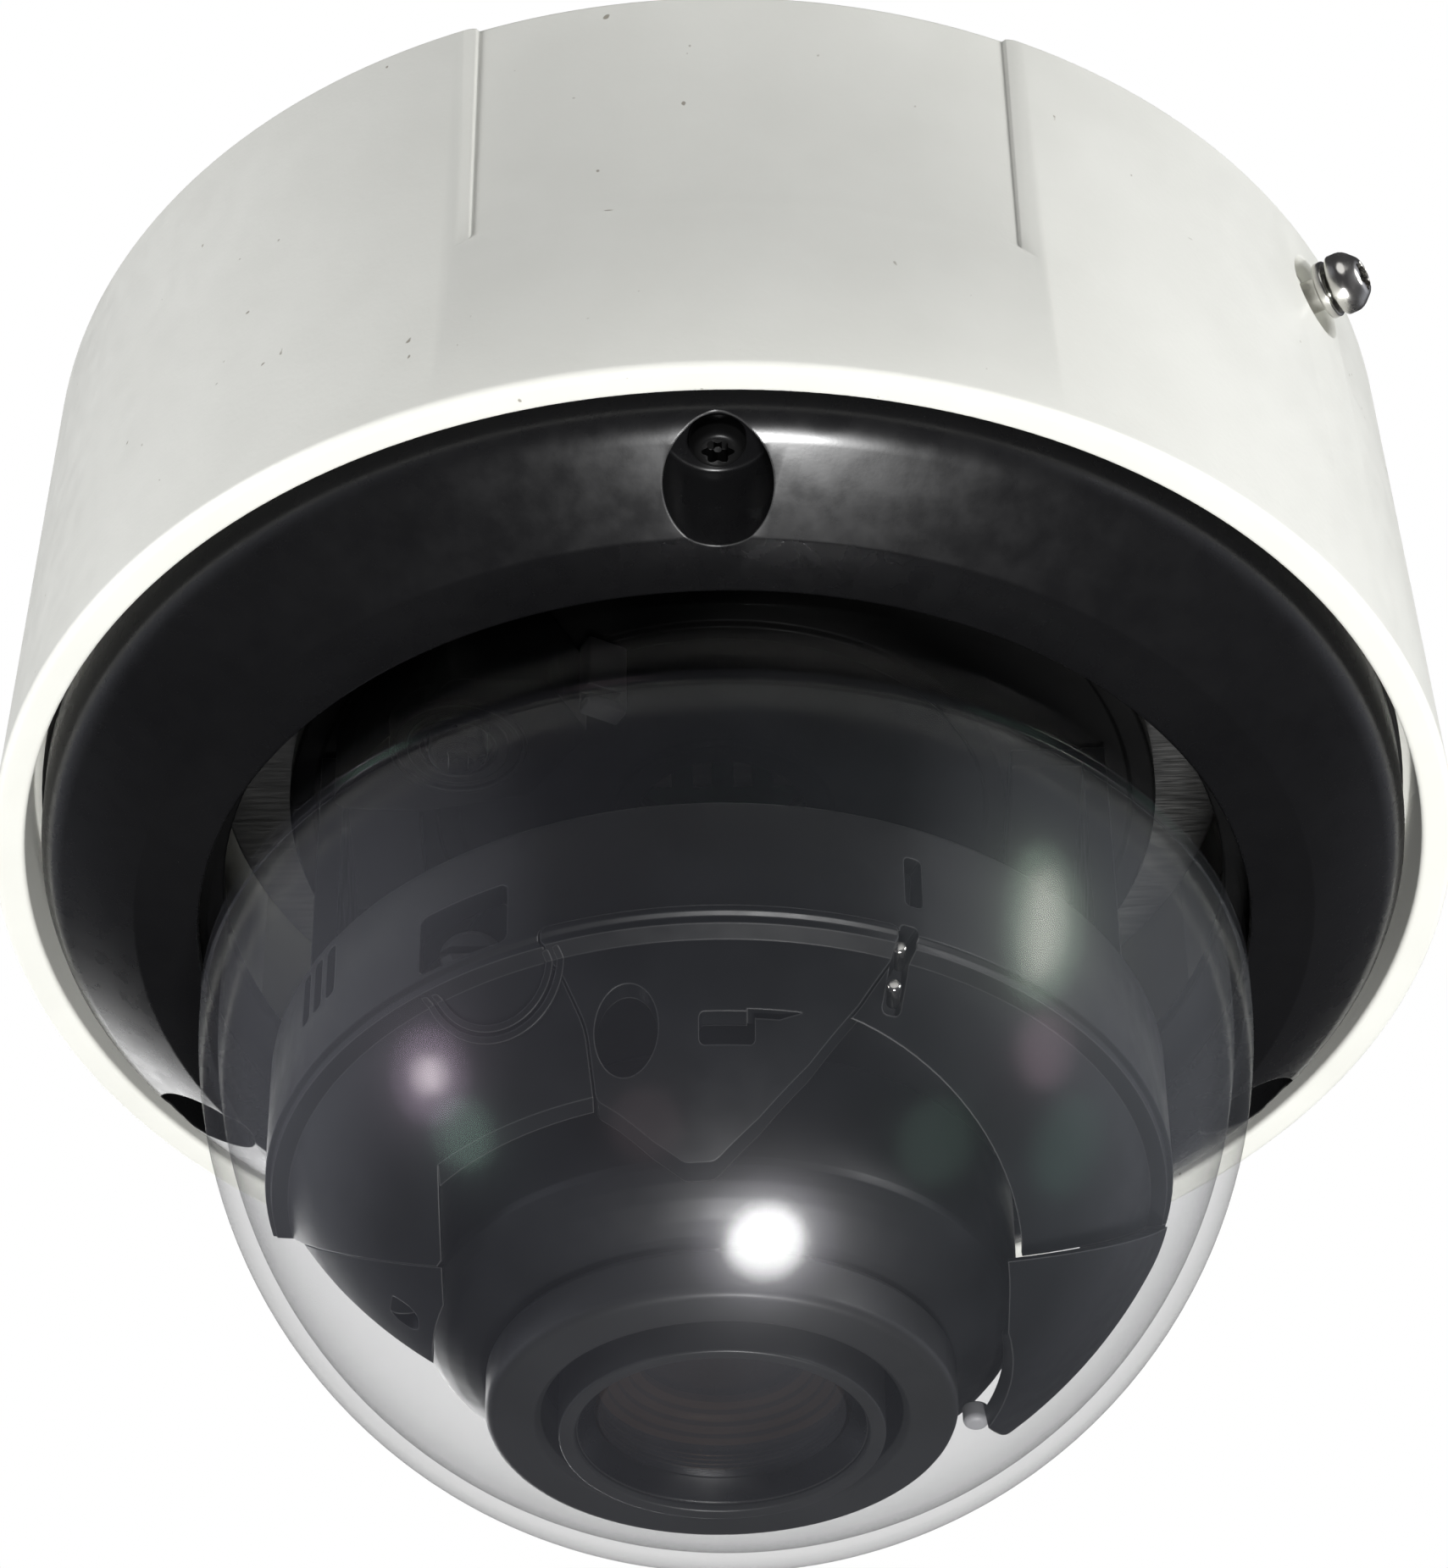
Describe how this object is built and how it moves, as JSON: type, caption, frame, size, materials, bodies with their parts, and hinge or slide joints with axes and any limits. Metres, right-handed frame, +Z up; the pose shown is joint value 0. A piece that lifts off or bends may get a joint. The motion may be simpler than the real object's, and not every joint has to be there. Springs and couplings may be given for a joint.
{
  "type": "dome cctv camera",
  "caption": "Vandal-resistant dome camera for a ceiling: white tapered housing, black screwed bezel, clear bubble, and a shrouded lens on a pan, tilt and rotate gimbal.",
  "frame": {"origin": "centre of the ceiling face of the mounting plate", "axes": "+Z up into the ceiling; -Y towards the viewer, the side with the recessed panel; +X to the viewer's right"},
  "size_m": [0.153, 0.153, 0.132],
  "materials": {
    "white_paint": "satin",
    "black_satin": "satin",
    "black_shell": "satin",
    "stainless": "satin",
    "black_steel": "satin",
    "aluminium": "satin",
    "polycarbonate": "gloss",
    "lens_glass": "gloss",
    "rubber": "matte",
    "circuit_board": "satin",
    "grey_plastic": "matte",
    "terminal_green": "satin"
  },
  "bodies": {
    "housing": {"mounting_plate": "stainless", "outer_housing": "white_paint", "cable_grommet": "rubber", "cover_seal": "rubber", "main_board": "circuit_board", "board_screw_1": "stainless", "board_screw_2": "stainless", "board_screw_3": "stainless", "heat_sink": "aluminium", "network_socket": "stainless", "power_terminal": "terminal_green", "card_socket": "stainless", "reset_switch": "grey_plastic", "gimbal_bracket": "stainless", "bracket_post_1": "stainless", "bracket_post_2": "stainless", "bracket_post_3": "stainless", "bracket_screw_1": "black_steel", "bracket_screw_2": "black_steel", "bracket_screw_3": "black_steel", "pan_base_ring": "grey_plastic"},
    "side_screw": {"side_screw": "stainless", "side_screw_washer": "stainless"},
    "cover": {"bezel_ring": "black_satin", "dome_bubble": "polycarbonate", "dome_seal": "rubber", "dome_retainer": "grey_plastic"},
    "bezel_screw_1": {"bezel_screw_1": "black_steel"},
    "bezel_screw_2": {"bezel_screw_2": "black_steel"},
    "bezel_screw_3": {"bezel_screw_3": "black_steel"},
    "pan_carriage": {"pan_turntable": "black_shell", "pan_lock_bracket": "black_shell", "cable_clip": "grey_plastic", "yoke_left": "black_shell", "yoke_right": "black_shell", "shroud_shell": "black_shell", "shroud_wing_left": "black_shell", "shroud_wing_right": "black_shell", "shroud_centre_plate": "black_shell", "tilt_lock_bracket": "stainless"},
    "pan_lock_screw": {"pan_lock_screw": "black_steel"},
    "tilt_lock_screw": {"tilt_lock_screw": "grey_plastic"},
    "camera_head": {"module_housing": "black_shell", "tilt_pin_left": "black_steel", "tilt_pin_right": "black_steel"},
    "lens_unit": {"lens_collar": "black_shell", "front_ring": "black_shell", "lens_barrel": "aluminium", "front_element": "lens_glass", "middle_element": "lens_glass", "iris_ring": "black_satin", "rear_element": "lens_glass", "ir_filter": "lens_glass", "lens_mount": "grey_plastic", "sensor_board": "circuit_board", "image_sensor": "grey_plastic"},
    "memory_card": {"memory_card": "grey_plastic"},
    "reset_button": {"reset_button": "black_satin"}
  },
  "joints": [
    {"name": "cover_lift", "type": "slide", "parent": "housing", "child": "cover", "axis": [0, 0, -1], "range_m": [0, 0.09]},
    {"name": "bezel_screw_1_travel", "type": "slide", "parent": "cover", "child": "bezel_screw_1", "axis": [0, 0, -1], "range_m": [0, 0.004]},
    {"name": "bezel_screw_2_travel", "type": "slide", "parent": "cover", "child": "bezel_screw_2", "axis": [0, 0, -1], "range_m": [0, 0.004]},
    {"name": "bezel_screw_3_travel", "type": "slide", "parent": "cover", "child": "bezel_screw_3", "axis": [0, 0, -1], "range_m": [0, 0.004]},
    {"name": "side_screw_travel", "type": "slide", "parent": "housing", "child": "side_screw", "axis": [0.8572, -0.515, 0], "range_m": [-0.0028, 0.006]},
    {"name": "pan", "type": "hinge", "parent": "housing", "child": "pan_carriage", "pos_m": [0, 0, -0.0782], "axis": [0, 0, 1], "range_deg": [-177.5, 177.5]},
    {"name": "tilt", "type": "hinge", "parent": "pan_carriage", "child": "camera_head", "pos_m": [-0.0009, 0, -0.0782], "axis": [1, 0, 0], "range_deg": [-3, 75]},
    {"name": "lens_turn", "type": "hinge", "parent": "camera_head", "child": "lens_unit", "pos_m": [-0.0009, 0, -0.0782], "axis": [0, 0.0523, -0.9986], "range_deg": [-177.5, 177.5]},
    {"name": "pan_lock_turn", "type": "hinge", "parent": "pan_carriage", "child": "pan_lock_screw", "pos_m": [-0.0268, -0.0235, -0.058], "axis": [0, 0, 1], "range_deg": [-180, 90]},
    {"name": "tilt_lock_turn", "type": "hinge", "parent": "pan_carriage", "child": "tilt_lock_screw", "pos_m": [-0.0242, -0.033, -0.0944], "axis": [0, 1, 0], "range_deg": [-180, 90]},
    {"name": "memory_card_slide", "type": "slide", "parent": "housing", "child": "memory_card", "axis": [1, 0, 0], "range_m": [0, 0.012]},
    {"name": "reset_button_press", "type": "slide", "parent": "housing", "child": "reset_button", "axis": [0, 0, 1], "range_m": [0, 0.0006], "stiffness_N_per_m": 400}
  ]
}
